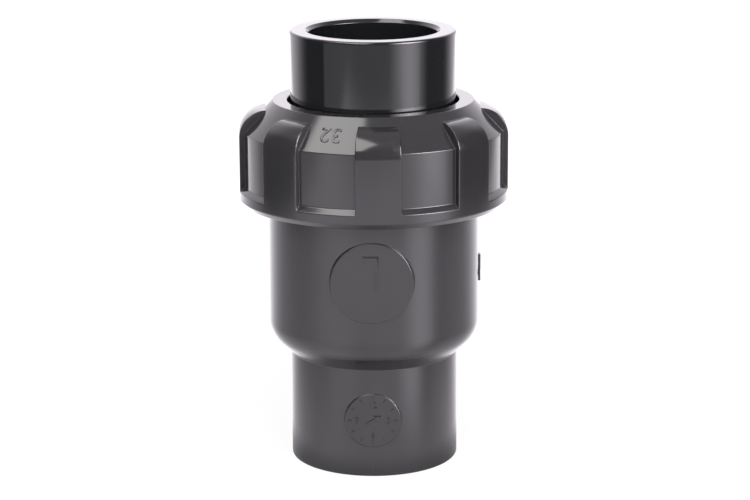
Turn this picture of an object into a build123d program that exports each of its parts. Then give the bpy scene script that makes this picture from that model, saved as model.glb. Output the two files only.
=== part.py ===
from build123d import *
import math
import os

# Union non-return valve in PVC-U, for solvent cement on 1 1/4 inch pipe, closed by a sprung poppet.
# The axis is Z. The outlet socket's mouth is at z = 0, and the union nut and end connector are on top.
# Flow runs down: in at the end connector, past the poppet and its guide cage, out at the body's socket.
# Sizes are in millimetres. A name that ends in _z is a height above the outlet socket's mouth.

# Pipe sockets, the same at both ends
pipe_diameter = 42.2
pipe_clearance = 0.1
socket_depth = 27.0
mouth_chamfer = 1.1
throat_radius = 17.5
edge_round = 0.6

# Valve body
socket_wall = 6.75
shoulder_rise = 5.4
shoulder_round = 10.0
shoulder_slope = 45.0
chamber_radius = 30.5
chamber_wall = 4.6
chamber_floor = 15.6
floor_round = 4.0
cage_ledge_height = 7.4
cage_ledge_width = 2.5
carrier_ledge_width = 1.5
mouth_wall = 4.9
body_mouth_chamfer = 1.2

# Marks moulded on the body: a flat round pad at the front and a flow arrow on its right
pad_radius = 13.4
pad_rise = 20.0
pad_proud = 0.25
arrow_length = 9.4
arrow_width = 6.0
arrow_stem_width = 2.2
arrow_head_length = 4.2
arrow_rise = 11.8
arrow_proud = 0.7

# Union thread, right-handed, its ridge a trapezoid that is sunk a little into its wall
thread_pitch = 4.0
thread_height = 1.7
thread_crest = 1.1
thread_base = 2.3
thread_clearance = 0.3
thread_sink = 0.4
body_thread_turns = 3.0
body_thread_start = 5.8
nut_thread_turns = 3.45

# Union nut
nut_height = 34.2
nut_wall = 4.1
web_thickness = 9.0
nut_hole_clearance = 1.2
cone_width = 9.7
cone_drop = 10.1
pocket_depth = 1.8
rim_chamfer_height = 1.9
rim_chamfer_width = 1.8
rim_height = 5.1
rim_slope = 1.3
nut_relief = 6.0
rib_count = 8
rib_angle = 19.2
rib_turn = 3.0
dome_round = 9.2
dome_drop = 11.8

# End connector
connector_wall = 6.3
connector_draft = 0.3
connector_throat = 5.0
collar_thickness = 5.0
collar_clearance = 0.6
collar_chamfer = 0.5

# Seat carrier, an insert held in the body's mouth by the connector's collar
carrier_clearance = 0.2
carrier_thickness = 10.0
carrier_chamfer = 0.4
nozzle_wall = 6.5
nozzle_taper = 1.0
nozzle_length = 8.0
seat_width = 1.8
seat_inset = 1.1
seat_slope = 2.0

# O-rings, with the section that they have when their grooves squeeze them
o_ring_section = 3.5
o_ring_squeeze = 0.8
groove_play = 0.35
face_ring_radius = 24.5
side_ring_height = 4.6

# Poppet, its flat seal and the nose that clamps the seal
poppet_radius = 23.5
poppet_edge = 2.5
poppet_thickness = 5.0
poppet_hub_radius = 8.6
poppet_hub_length = 7.0
poppet_hub_chamfer = 0.6
seal_thickness = 3.0
seal_inner_radius = 13.5
seal_play = 0.3
rim_wall = 1.3
rim_lip = 1.6
nose_clearance = 1.2
nose_edge = 1.5
nose_round = 5.5

# Stem, with the nut and washer at its top and the clip at its foot
stem_radius = 3.0
spigot_radius = 2.5
bolt_clearance = 0.05
stem_shoulder_radius = 5.0
stem_shoulder_thickness = 2.0
stem_foot = 4.5
stem_end = 1.5
stem_chamfer = 0.5
washer_radius = 5.2
washer_thickness = 1.0
hex_across_flats = 8.0
hex_height = 4.0
clip_radius = 4.6
clip_thickness = 0.8
clip_drop = 1.8
clip_play = 0.05
clip_groove_depth = 0.8
clip_mouth = 3.6

# Guide cage and its bush
cage_play = 0.2
cage_height = 6.0
cage_rim = 3.8
cage_arms = 4
cage_arm_thickness = 3.0
cage_hub_wall = 3.6
cage_foot = 3.0
cage_flange_radius = 11.5
cage_flange = 4.0
bush_wall = 1.5
bush_clearance = 0.05
bush_fit = 0.03
bush_flange_width = 2.0
bush_flange = 1.0

# Spring and stroke
wire_diameter = 1.2
spring_radius = 9.7
spring_turns = 7.0
spring_length = 26.0
spring_seat_margin = 1.7
stroke = 10.0
stop_gap = 0.3

# Radii that follow from the sizes above
socket_bore = pipe_diameter / 2 + pipe_clearance
socket_outer = socket_bore + socket_wall
body_outer = chamber_radius + chamber_wall
carrier_bore_radius = chamber_radius + carrier_ledge_width
thread_root_radius = carrier_bore_radius + mouth_wall
thread_crest_radius = thread_root_radius + thread_height
nut_root_radius = thread_crest_radius + thread_clearance
nut_crest_radius = thread_root_radius + thread_clearance
nut_radius = nut_root_radius + nut_wall + pocket_depth
connector_outer = socket_bore + connector_wall
connector_foot_radius = connector_outer - connector_draft
collar_radius = nut_crest_radius - collar_clearance
nozzle_radius = throat_radius + nozzle_wall
poppet_hole = spigot_radius + bolt_clearance
nose_radius = throat_radius - nose_clearance
stem_groove_radius = stem_radius - clip_groove_depth
bush_hole = stem_radius + bush_clearance
bush_outer = stem_radius + bush_wall
cage_hub_radius = bush_outer + cage_hub_wall

# Heights that follow, from the outlet up to the connector's mouth
chamber_floor_z = socket_depth + chamber_floor
shoulder_z = chamber_floor_z + shoulder_rise
cage_ledge_z = chamber_floor_z + cage_ledge_height
cage_top_z = cage_ledge_z + cage_height
cage_bottom_z = cage_ledge_z - cage_foot
poppet_foot_z = cage_top_z + spring_length
poppet_hub_z = poppet_foot_z - poppet_hub_length
seal_bed_z = poppet_foot_z + poppet_thickness
seat_z = seal_bed_z + seal_thickness
carrier_ledge_z = seat_z + nozzle_length
collar_z = carrier_ledge_z + carrier_thickness
web_z = collar_z + collar_thickness
nut_top_z = web_z + web_thickness
nut_bottom_z = nut_top_z - nut_height
connector_stop_z = web_z + connector_throat
overall_height = connector_stop_z + socket_depth
stem_shoulder_z = poppet_hub_z - stem_shoulder_thickness
nose_top_z = seat_z + nose_edge + nose_round
washer_top_z = nose_top_z + washer_thickness
hex_top_z = washer_top_z + hex_height
stem_top_z = hex_top_z + stem_end
bush_top_z = stem_shoulder_z - stroke - stop_gap
cage_hub_top_z = bush_top_z - bush_flange
stem_foot_z = cage_bottom_z - stem_foot
clip_top_z = cage_bottom_z - clip_drop

os.makedirs("parts", exist_ok=True)


def finish(piece, name):
    """Labels a piece and writes its file."""
    piece.part.label = name
    export_step(piece.part, f"parts/{name}.step")


def thread_ridge(radius, outwards, start_z, turns):
    """The thread's ridge on a wall of this radius, standing outwards (1) or inwards (-1)."""
    flank = (thread_base - thread_crest) / 2 / thread_height
    sunk_half = thread_base / 2 + flank * thread_sink
    with BuildPart() as ridge:
        with BuildLine(Plane.XY.offset(start_z)) as helix:
            Helix(thread_pitch, thread_pitch * turns, radius)
        with BuildSketch(Plane(helix.line @ 0, x_dir=(outwards, 0, 0), z_dir=helix.line % 0)):
            with BuildLine():
                Polyline(
                    (-thread_sink, -sunk_half),
                    (thread_height, -thread_crest / 2),
                    (thread_height, thread_crest / 2),
                    (-thread_sink, sunk_half),
                    close=True,
                )
            make_face()
        sweep(path=helix.line, is_frenet=True)
    return ridge.part


def squeezed_o_ring(radius, z, width, height):
    """An O-ring of this mean radius, its round section flattened where its groove squeezes it."""
    with BuildPart() as o_ring:
        with BuildSketch(Plane.XZ):
            with Locations((radius, z)):
                Circle(o_ring_section / 2)
                Rectangle(width, height, mode=Mode.INTERSECT)
        revolve(axis=Axis.Z)
    return o_ring


# Valve body: one moulding with the outlet socket, the poppet's chamber and the male union thread.
# A cone runs from the chamber's rounded foot down to the socket.
shoulder_centre = body_outer - shoulder_round
shoulder_turn = math.radians(shoulder_slope)
shoulder_cone_radius = shoulder_centre + shoulder_round * math.cos(shoulder_turn)
shoulder_cone_z = shoulder_z - shoulder_round * math.sin(shoulder_turn)
shoulder_foot_z = shoulder_cone_z - (shoulder_cone_radius - socket_outer) / math.tan(shoulder_turn)
neck_z = nut_bottom_z - (thread_root_radius - body_outer)
ledge_radius = chamber_radius - cage_ledge_width
pad_depth = body_outer + pad_proud - math.sqrt(body_outer**2 - pad_radius**2) + chamber_wall / 4
arrow_tip_z = shoulder_z + arrow_rise
arrow_neck_z = arrow_tip_z + arrow_head_length
body_ridge = thread_ridge(thread_root_radius, 1, nut_bottom_z + body_thread_start, body_thread_turns)
with BuildPart() as valve_body:
    with BuildSketch(Plane.XZ) as body_profile:
        with BuildLine():
            Polyline(
                (socket_bore + mouth_chamfer, 0),
                (socket_outer, 0),
                (socket_outer, shoulder_foot_z),
                (shoulder_cone_radius, shoulder_cone_z),
            )
            CenterArc((shoulder_centre, shoulder_z), shoulder_round, -shoulder_slope, shoulder_slope)
            Polyline(
                (body_outer, shoulder_z),
                (body_outer, neck_z),
                (thread_root_radius, nut_bottom_z),
                (thread_root_radius, collar_z - body_mouth_chamfer),
                (thread_root_radius - body_mouth_chamfer, collar_z),
                (carrier_bore_radius, collar_z),
                (carrier_bore_radius, carrier_ledge_z),
                (chamber_radius, carrier_ledge_z),
                (chamber_radius, cage_ledge_z),
                (ledge_radius, cage_ledge_z),
                (ledge_radius, chamber_floor_z + floor_round),
            )
            CenterArc((ledge_radius - floor_round, chamber_floor_z + floor_round), floor_round, -90, 90)
            Polyline(
                (ledge_radius - floor_round, chamber_floor_z),
                (throat_radius, chamber_floor_z),
                (throat_radius, socket_depth),
                (socket_bore, socket_depth),
                (socket_bore, mouth_chamfer),
                (socket_bore + mouth_chamfer, 0),
            )
        make_face()
        fillet(body_profile.vertices().sort_by_distance((socket_outer, 0))[0], edge_round)
    revolve(axis=Axis.Z)
    with BuildSketch(Plane.XZ.offset(body_outer + pad_proud)):
        with Locations((0, shoulder_z + pad_rise)):
            Circle(pad_radius)
    extrude(amount=-pad_depth)
    with BuildSketch(Plane.YZ.offset(body_outer + arrow_proud)):
        with BuildLine():
            Polyline(
                (0, arrow_tip_z),
                (arrow_width / 2, arrow_neck_z),
                (arrow_stem_width / 2, arrow_neck_z),
                (arrow_stem_width / 2, arrow_tip_z + arrow_length),
                (-arrow_stem_width / 2, arrow_tip_z + arrow_length),
                (-arrow_stem_width / 2, arrow_neck_z),
                (-arrow_width / 2, arrow_neck_z),
                close=True,
            )
        make_face()
    extrude(amount=-2 * arrow_proud)
    add(body_ridge)
finish(valve_body, "valve_body")


# Union nut: a threaded skirt with a web on top and grip ribs that end in domes
nut_hole = connector_foot_radius + nut_hole_clearance
nut_flat_radius = nut_radius - pocket_depth - cone_width
dome_centre_z = nut_top_z - dome_drop
rib_foot_z = nut_bottom_z + rim_chamfer_height
rib_root_radius = (nut_root_radius + nut_radius) / 2
nut_ridge = thread_ridge(
    nut_root_radius, -1, nut_bottom_z + body_thread_start - thread_pitch / 2, nut_thread_turns
)
with BuildPart() as nut_rib:
    with BuildSketch(Plane.XZ):
        with BuildLine():
            Polyline(
                (rib_root_radius, rib_foot_z),
                (nut_radius, rib_foot_z),
                (nut_radius, dome_centre_z),
            )
            CenterArc((nut_radius - dome_round, dome_centre_z), dome_round, 0, 90)
            Polyline(
                (nut_radius - dome_round, dome_centre_z + dome_round),
                (rib_root_radius, dome_centre_z),
                (rib_root_radius, rib_foot_z),
            )
        make_face()
    revolve(axis=Axis.Z, revolution_arc=rib_angle)
with BuildPart() as union_nut:
    with BuildSketch(Plane.XZ):
        with BuildLine():
            Polyline(
                (nut_hole, nut_top_z),
                (nut_flat_radius, nut_top_z),
                (nut_radius - pocket_depth, nut_top_z - cone_drop),
                (nut_radius - pocket_depth, nut_bottom_z + rim_height + rim_slope),
                (nut_radius, nut_bottom_z + rim_height),
                (nut_radius, rib_foot_z),
                (nut_radius - rim_chamfer_width, nut_bottom_z),
                (nut_root_radius, nut_bottom_z),
                (nut_root_radius, web_z - nut_relief),
                (nut_crest_radius, web_z - nut_relief),
                (nut_crest_radius, web_z),
                (nut_hole, web_z),
                close=True,
            )
        make_face()
    revolve(axis=Axis.Z)
    with PolarLocations(0, rib_count, start_angle=rib_turn - 90 - rib_angle / 2):
        add(nut_rib.part)
    add(nut_ridge)
finish(union_nut, "union_nut")


# End connector: the inlet socket, with the collar that the nut's web pulls down on the body
with BuildPart() as end_connector:
    with BuildSketch(Plane.XZ) as connector_profile:
        with BuildLine():
            Polyline(
                (throat_radius, collar_z),
                (collar_radius, collar_z),
                (collar_radius, web_z),
                (connector_foot_radius, web_z),
                (connector_outer, overall_height),
                (socket_bore + mouth_chamfer, overall_height),
                (socket_bore, overall_height - mouth_chamfer),
                (socket_bore, connector_stop_z),
                (throat_radius, connector_stop_z),
                close=True,
            )
        make_face()
        corners = connector_profile.vertices()
        fillet(corners.sort_by_distance((connector_outer, overall_height))[0], edge_round)
        chamfer(
            [
                corners.sort_by_distance((collar_radius, collar_z))[0],
                corners.sort_by_distance((collar_radius, web_z))[0],
            ],
            collar_chamfer,
        )
    revolve(axis=Axis.Z)
finish(end_connector, "end_connector")


# Seat carrier: an insert that drops into the body's mouth, with the seat at the foot of its nozzle
o_ring_height = o_ring_section - o_ring_squeeze
groove_width = o_ring_section + 2 * groove_play
carrier_outer = carrier_bore_radius - carrier_clearance
side_ring_z = carrier_ledge_z + side_ring_height
side_groove_radius = carrier_bore_radius - o_ring_height
seat_inner_radius = throat_radius + seat_inset
seat_outer_radius = seat_inner_radius + seat_width
with BuildPart() as seat_carrier:
    with BuildSketch(Plane.XZ) as carrier_profile:
        with BuildLine():
            Polyline(
                (throat_radius, collar_z),
                (carrier_outer, collar_z),
                (carrier_outer, carrier_ledge_z),
                (nozzle_radius, carrier_ledge_z),
                (nozzle_radius - nozzle_taper, seat_z + seat_slope),
                (seat_outer_radius, seat_z),
                (seat_inner_radius, seat_z),
                (throat_radius, seat_z + seat_inset),
                close=True,
            )
        make_face()
        corners = carrier_profile.vertices()
        chamfer(
            [
                corners.sort_by_distance((carrier_outer, collar_z))[0],
                corners.sort_by_distance((carrier_outer, carrier_ledge_z))[0],
            ],
            carrier_chamfer,
        )
        with Locations((face_ring_radius, collar_z)):
            Rectangle(groove_width, 2 * o_ring_height, mode=Mode.SUBTRACT)
        with Locations((side_groove_radius, side_ring_z)):
            Rectangle(
                2 * o_ring_height, groove_width, align=(Align.MIN, Align.CENTER), mode=Mode.SUBTRACT
            )
    revolve(axis=Axis.Z)
finish(seat_carrier, "seat_carrier")


# O-rings: one in the carrier's top face for the connector's collar, one in its side for the body
face_o_ring = squeezed_o_ring(
    face_ring_radius, collar_z - o_ring_height / 2, o_ring_section, o_ring_height
)
finish(face_o_ring, "connector_o_ring")
side_o_ring = squeezed_o_ring(
    carrier_bore_radius - o_ring_height / 2, side_ring_z, o_ring_height, o_ring_section
)
finish(side_o_ring, "carrier_o_ring")


# Poppet: a disc with a bed for the flat seal on top, and a hub below that centres the spring
seal_outer_radius = poppet_radius - rim_wall - seal_play
spring_seat_radius = spring_radius + spring_seat_margin
with BuildPart() as poppet:
    with BuildSketch(Plane.XZ) as poppet_profile:
        with BuildLine():
            Polyline(
                (poppet_hole, poppet_hub_z),
                (poppet_hub_radius, poppet_hub_z),
                (poppet_hub_radius, poppet_foot_z),
                (spring_seat_radius, poppet_foot_z),
                (poppet_radius, seal_bed_z - poppet_edge),
                (poppet_radius, seal_bed_z + rim_lip),
                (poppet_radius - rim_wall, seal_bed_z + rim_lip),
                (poppet_radius - rim_wall, seal_bed_z),
                (poppet_hole, seal_bed_z),
                close=True,
            )
        make_face()
        chamfer(
            poppet_profile.vertices().sort_by_distance((poppet_hub_radius, poppet_hub_z))[0],
            poppet_hub_chamfer,
        )
    revolve(axis=Axis.Z)
finish(poppet, "poppet")


# Poppet seal: a flat rubber ring that closes on the carrier's seat
with BuildPart() as poppet_seal:
    with BuildSketch(Plane.XY.offset(seal_bed_z)):
        Circle(seal_outer_radius)
        Circle(seal_inner_radius, mode=Mode.SUBTRACT)
    extrude(amount=seal_thickness)
finish(poppet_seal, "poppet_seal")


# Poppet nose: its spigot centres the seal, its flange clamps it and its dome parts the flow
spigot_outer = seal_inner_radius - seal_play
nose_flat_radius = nose_radius - nose_round
with BuildPart() as poppet_nose:
    with BuildSketch(Plane.XZ):
        with BuildLine():
            Polyline(
                (nose_flat_radius, nose_top_z),
                (poppet_hole, nose_top_z),
                (poppet_hole, seal_bed_z),
                (spigot_outer, seal_bed_z),
                (spigot_outer, seat_z),
                (nose_radius, seat_z),
                (nose_radius, seat_z + nose_edge),
            )
            CenterArc((nose_flat_radius, seat_z + nose_edge), nose_round, 0, 90)
        make_face()
    revolve(axis=Axis.Z)
finish(poppet_nose, "poppet_nose")


# Poppet stem: a steel rod, stepped to carry the poppet and grooved at its foot for the clip
with BuildPart() as poppet_stem:
    with BuildSketch(Plane.XZ) as stem_profile:
        with BuildLine():
            Polyline(
                (0, stem_foot_z),
                (stem_radius, stem_foot_z),
                (stem_radius, clip_top_z - clip_thickness - clip_play),
                (stem_groove_radius, clip_top_z - clip_thickness - clip_play),
                (stem_groove_radius, clip_top_z + clip_play),
                (stem_radius, clip_top_z + clip_play),
                (stem_radius, stem_shoulder_z),
                (stem_shoulder_radius, stem_shoulder_z),
                (stem_shoulder_radius, poppet_hub_z),
                (spigot_radius, poppet_hub_z),
                (spigot_radius, stem_top_z),
                (0, stem_top_z),
                close=True,
            )
        make_face()
        corners = stem_profile.vertices()
        chamfer(
            [
                corners.sort_by_distance((stem_radius, stem_foot_z))[0],
                corners.sort_by_distance((spigot_radius, stem_top_z))[0],
            ],
            stem_chamfer,
        )
    revolve(axis=Axis.Z)
finish(poppet_stem, "poppet_stem")


# Stem washer and nut, which clamp nose, seal and poppet against the stem's shoulder
with BuildPart() as stem_washer:
    with BuildSketch(Plane.XY.offset(nose_top_z)):
        Circle(washer_radius)
        Circle(poppet_hole, mode=Mode.SUBTRACT)
    extrude(amount=washer_thickness)
finish(stem_washer, "stem_washer")

with BuildPart() as stem_nut:
    with BuildSketch(Plane.XY.offset(washer_top_z)):
        RegularPolygon(hex_across_flats / 2, 6, major_radius=False)
        Circle(poppet_hole, mode=Mode.SUBTRACT)
    extrude(amount=hex_height)
finish(stem_nut, "stem_nut")


# Stem clip: an open spring clip that keeps stem, spring and cage together when the seat is out
with BuildPart() as stem_clip:
    with BuildSketch(Plane.XY.offset(clip_top_z - clip_thickness)):
        Circle(clip_radius)
        Circle(stem_groove_radius + clip_play, mode=Mode.SUBTRACT)
        Rectangle(clip_radius, clip_mouth, align=(Align.MIN, Align.CENTER), mode=Mode.SUBTRACT)
    extrude(amount=clip_thickness)
finish(stem_clip, "stem_clip")


# Guide cage: a rim on the body's ledge and a hub for the stem's bush, joined by thin arms
cage_radius = chamber_radius - cage_play
cage_flange_z = cage_top_z - cage_flange
with BuildPart() as guide_cage:
    with BuildSketch(Plane.XY.offset(cage_ledge_z)):
        Circle(cage_radius)
        Circle(cage_radius - cage_rim, mode=Mode.SUBTRACT)
        with PolarLocations(0, cage_arms, start_angle=45):
            Rectangle(cage_radius - cage_rim / 2, cage_arm_thickness, align=(Align.MIN, Align.CENTER))
    extrude(amount=cage_height)
    with BuildSketch(Plane.XY.offset(cage_bottom_z)):
        Circle(cage_hub_radius)
    extrude(amount=cage_hub_top_z - cage_bottom_z)
    with BuildSketch(Plane.XY.offset(cage_flange_z)):
        Circle(cage_flange_radius)
    extrude(amount=cage_flange)
    with BuildSketch(Plane.XY.offset(cage_bottom_z)):
        Circle(bush_outer + bush_fit)
    extrude(amount=cage_hub_top_z - cage_bottom_z, mode=Mode.SUBTRACT)
finish(guide_cage, "guide_cage")


# Guide bush: a flanged sleeve in the cage's hub, which the stem slides in
with BuildPart() as guide_bush:
    with BuildSketch(Plane.XY.offset(cage_bottom_z)):
        Circle(bush_outer)
    extrude(amount=cage_hub_top_z - cage_bottom_z)
    with BuildSketch(Plane.XY.offset(cage_hub_top_z)):
        Circle(bush_outer + bush_flange_width)
    extrude(amount=bush_flange)
    with BuildSketch(Plane.XY.offset(cage_bottom_z)):
        Circle(bush_hole)
    extrude(amount=bush_top_z - cage_bottom_z, mode=Mode.SUBTRACT)
finish(guide_bush, "guide_bush")


# Closing spring: round wire, ground flat at both ends, between the cage's flange and the poppet
with BuildPart() as closing_spring:
    with BuildLine(Plane.XY.offset(cage_top_z)) as coil:
        Helix(spring_length / spring_turns, spring_length, spring_radius)
    with BuildSketch(Plane(coil.line @ 0, x_dir=(1, 0, 0), z_dir=coil.line % 0)):
        Circle(wire_diameter / 2)
    sweep(path=coil.line, is_frenet=True)
    with Locations((0, 0, cage_top_z)):
        Cylinder(
            spring_radius + wire_diameter,
            spring_length,
            align=(Align.CENTER, Align.CENTER, Align.MIN),
            mode=Mode.INTERSECT,
        )
finish(closing_spring, "closing_spring")
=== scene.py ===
import math

import bmesh
import bpy
from mathutils import Matrix, Vector


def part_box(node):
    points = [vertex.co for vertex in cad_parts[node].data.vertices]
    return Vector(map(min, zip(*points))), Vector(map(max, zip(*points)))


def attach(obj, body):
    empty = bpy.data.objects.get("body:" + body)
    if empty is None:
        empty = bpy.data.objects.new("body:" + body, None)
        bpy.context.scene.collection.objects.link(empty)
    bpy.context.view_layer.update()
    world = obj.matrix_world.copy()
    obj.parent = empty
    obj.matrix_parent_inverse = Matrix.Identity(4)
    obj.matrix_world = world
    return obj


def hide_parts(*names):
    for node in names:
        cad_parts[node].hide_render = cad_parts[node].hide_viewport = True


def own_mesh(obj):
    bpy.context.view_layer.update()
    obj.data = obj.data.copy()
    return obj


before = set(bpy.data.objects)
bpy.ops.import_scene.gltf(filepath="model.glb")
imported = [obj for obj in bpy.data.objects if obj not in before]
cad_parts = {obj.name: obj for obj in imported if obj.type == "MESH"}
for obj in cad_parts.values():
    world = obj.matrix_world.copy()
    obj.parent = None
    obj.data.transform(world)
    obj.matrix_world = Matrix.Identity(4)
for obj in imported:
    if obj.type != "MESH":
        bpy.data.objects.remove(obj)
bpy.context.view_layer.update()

# Valve body: one PVC-U moulding with the outlet socket at its foot, the chamber that the poppet
# works in, and a coarse male thread round its mouth. The flat pad and the dial at the front and
# the flow arrow on the right are left by inserts in the mould and stand a little proud.
MM = 0.001
socket_bore = 21.2
mouth_chamfer = 1.1
throat_radius = 17.5
socket_depth = 27.0
socket_outer = 27.95
body_outer = 35.1
shoulder_z = 48.0
shoulder_round = 10.0
shoulder_slope = 45.0
chamber_floor_z = 42.6
chamber_radius = 30.5
cage_ledge_radius = 28.0
cage_ledge_z = 50.0
floor_round = 4.0
carrier_ledge_z = 98.0
carrier_bore = 32.0
thread_root = 36.9
mouth_bevel = 1.2
soft_edge = 0.35
hold_room = 0.15
columns_round = 192
body_top_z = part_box("valve_body")[1].z / MM
nut_foot_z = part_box("union_nut")[0].z / MM


def rounded(corners):
    """The closed outline through corners (radius from the axis, height, rounding), in mm.
    Each point comes with 1 where it lies on a small outward rounding, which wear reaches."""
    places = [Vector(corner[:2]) for corner in corners]
    count = len(places)
    backs = [places[i - 1] - here for i, here in enumerate(places)]
    aheads = [places[(i + 1) % count] - here for i, here in enumerate(places)]
    turns = [math.pi - back.angle(ahead) for back, ahead in zip(backs, aheads)]
    wants = [corner[2] * math.tan(turn / 2) for corner, turn in zip(corners, turns)]
    reaches = []
    for i, want in enumerate(wants):
        back_room = backs[i].length * want / max(want + wants[i - 1], 0.001)
        ahead_room = aheads[i].length * want / max(want + wants[(i + 1) % count], 0.001)
        reaches.append(min(want, 0.98 * back_room, 0.98 * ahead_room))
    outline = []
    for i, (here, reach, turn) in enumerate(zip(places, reaches, turns)):
        if not reach:
            outline.append((here, 0.0))
            continue
        size = reach / math.tan(turn / 2)
        behind, onward = backs[i].normalized(), aheads[i].normalized()
        back_spare = backs[i].length - reach - reaches[i - 1]
        ahead_spare = aheads[i].length - reach - reaches[(i + 1) % count]
        centre = here + (behind + onward).normalized() * size / math.cos(turn / 2)
        first = (here + behind * reach - centre) / size
        final = (here + onward * reach - centre) / size
        outward = backs[i].x * aheads[i].y - backs[i].y * aheads[i].x < 0
        worn = 1.0 if outward and size < 2 else 0.0
        steps = max(4, math.ceil(math.degrees(turn) / (4 if size > 2 else 15)))
        if back_spare > hold_room:
            outline.append((here + behind * (reach + min(0.2, 0.3 * back_spare)), 0.0))
        for k in range(steps + 1):
            outline.append((centre + first.slerp(final, k / steps) * size, worn))
        if ahead_spare > hold_room:
            outline.append((here + onward * (reach + min(0.2, 0.3 * ahead_spare)), 0.0))
    return outline


def solid(name, points, faces, worn=None, matt=None):
    """A piece with these points in mm, its doubles merged and its faces turned outwards.
    worn and the second value say how far each point is rubbed, and how rough the mould left it and how far
    painted shade darkens its colour."""
    mesh = bpy.data.meshes.new(name)
    mesh.from_pydata([Vector(p) * MM for p in points], [], faces)
    for trait, values in (("worn", worn), ("matt", matt)):
        kept = mesh.attributes.new(trait, "FLOAT", "POINT")
        kept.data.foreach_set("value", values or [0.0] * len(points))
    shape = bmesh.new()
    shape.from_mesh(mesh)
    bmesh.ops.remove_doubles(shape, verts=shape.verts, dist=0.002 * MM)
    bmesh.ops.recalc_face_normals(shape, faces=shape.faces)
    shape.to_mesh(mesh)
    shape.free()
    mesh.shade_smooth()
    piece = bpy.data.objects.new(name, mesh)
    bpy.context.scene.collection.objects.link(piece)
    return piece


def turned(name, corners, columns=columns_round):
    """A piece turned round the axis from its rounded outline."""
    outline = rounded(corners)
    rows = len(outline)
    points, worn, faces = [], [], []
    for column in range(columns):
        angle = 2 * math.pi * column / columns
        beside = (column + 1) % columns * rows
        for row, ((r, z), wear) in enumerate(outline):
            points.append((r * math.cos(angle), r * math.sin(angle), z))
            worn.append(wear)
            above = (row + 1) % rows
            faces.append((column * rows + row, beside + row, beside + above, column * rows + above))
    return solid(name, points, faces, worn)


shoulder_turn = math.radians(shoulder_slope)
shoulder_corner_z = shoulder_z - shoulder_round * math.tan(shoulder_turn / 2)
shoulder_foot_z = shoulder_corner_z - (body_outer - socket_outer) / math.tan(shoulder_turn)
body_shell = turned("body_shell", [
    (socket_bore + mouth_chamfer, 0, 0.3),
    (socket_outer, 0, 0.7),
    (socket_outer, shoulder_foot_z, 0.3),
    (body_outer, shoulder_corner_z, shoulder_round),
    (body_outer, nut_foot_z - (thread_root - body_outer), 1.0),
    (thread_root, nut_foot_z, 0.6),
    (thread_root, body_top_z - mouth_bevel, soft_edge),
    (thread_root - mouth_bevel, body_top_z, soft_edge),
    (carrier_bore, body_top_z, soft_edge),
    (carrier_bore, carrier_ledge_z, 0.2),
    (chamber_radius, carrier_ledge_z, soft_edge),
    (chamber_radius, cage_ledge_z, 0.2),
    (cage_ledge_radius, cage_ledge_z, soft_edge),
    (cage_ledge_radius, chamber_floor_z, floor_round),
    (throat_radius, chamber_floor_z, 0.6),
    (throat_radius, socket_depth, 0.5),
    (socket_bore, socket_depth, 0.3),
    (socket_bore, mouth_chamfer, 0.3),
])


class Wire:
    """A value in a node tree. Sums and products of wires add Math nodes."""

    def __init__(self, tree, socket=None):
        self.tree = tree
        self.socket = socket

    def node(self, kind, inputs=None, out=0, **settings):
        """A new node of this kind: its settings first, then the values or wires of its sockets."""
        made = self.tree.nodes.new(kind)
        for setting, value in settings.items():
            setattr(made, setting, value)
        for key, value in (inputs or {}).items():
            for part in value if isinstance(value, list) else [value]:
                if isinstance(part, Wire):
                    self.tree.links.new(part.socket, made.inputs[key])
                else:
                    made.inputs[key].default_value = part
        return Wire(self.tree, made.outputs[out])

    def maths(self, operation, *values):
        return self.node("ShaderNodeMath", dict(enumerate(values)), operation=operation)

    def __add__(self, other):
        return self.maths("ADD", self, other)

    def __mul__(self, other):
        return self.maths("MULTIPLY", self, other)

    def __sub__(self, other):
        return self.maths("SUBTRACT", self, other)

    def __rsub__(self, other):
        return self.maths("SUBTRACT", other, self)

    __radd__ = __add__
    __rmul__ = __mul__

    def ease(self, low, high):
        """0 below low, 1 above high, and a smooth rise between them."""
        return self.node(
            "ShaderNodeMapRange", {0: self, 1: low, 2: high}, interpolation_type="SMOOTHSTEP"
        )

    def tint(self, low, high):
        """The colour low where this is 0, high where it is 1."""
        return self.node("ShaderNodeMix", {0: self, 6: low, 7: high}, 2, data_type="RGBA")


def by_rule(piece, name, rule, **sizes):
    """Gives the piece the shape that a geometry tree makes of it, as a plain mesh.
    The tree's named inputs are sizes; rule wires it up from them and returns the result."""
    tree = bpy.data.node_groups.new(name, "GeometryNodeTree")
    kinds = {int: "NodeSocketInt", float: "NodeSocketFloat", bpy.types.Material: "NodeSocketMaterial"}
    tree.interface.new_socket("piece", in_out="INPUT", socket_type="NodeSocketGeometry")
    tree.interface.new_socket("piece", in_out="OUTPUT", socket_type="NodeSocketGeometry")
    keys = {}
    for size, value in sizes.items():
        socket = tree.interface.new_socket(size, in_out="INPUT", socket_type=kinds[type(value)])
        keys[size] = socket.identifier
    entry = tree.nodes.new("NodeGroupInput")
    wires = {socket.name: Wire(tree, socket) for socket in entry.outputs if socket.name}
    end = tree.nodes.new("NodeGroupOutput")
    tree.links.new(rule(**wires).socket, end.inputs[0])
    modifier = piece.modifiers.new(name, "NODES")
    modifier.node_group = tree
    for size, value in sizes.items():
        modifier[keys[size]] = value
    bpy.context.view_layer.update()
    ready = piece.evaluated_get(bpy.context.evaluated_depsgraph_get())
    piece.data = bpy.data.meshes.new_from_object(ready)
    piece.modifiers.clear()


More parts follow.
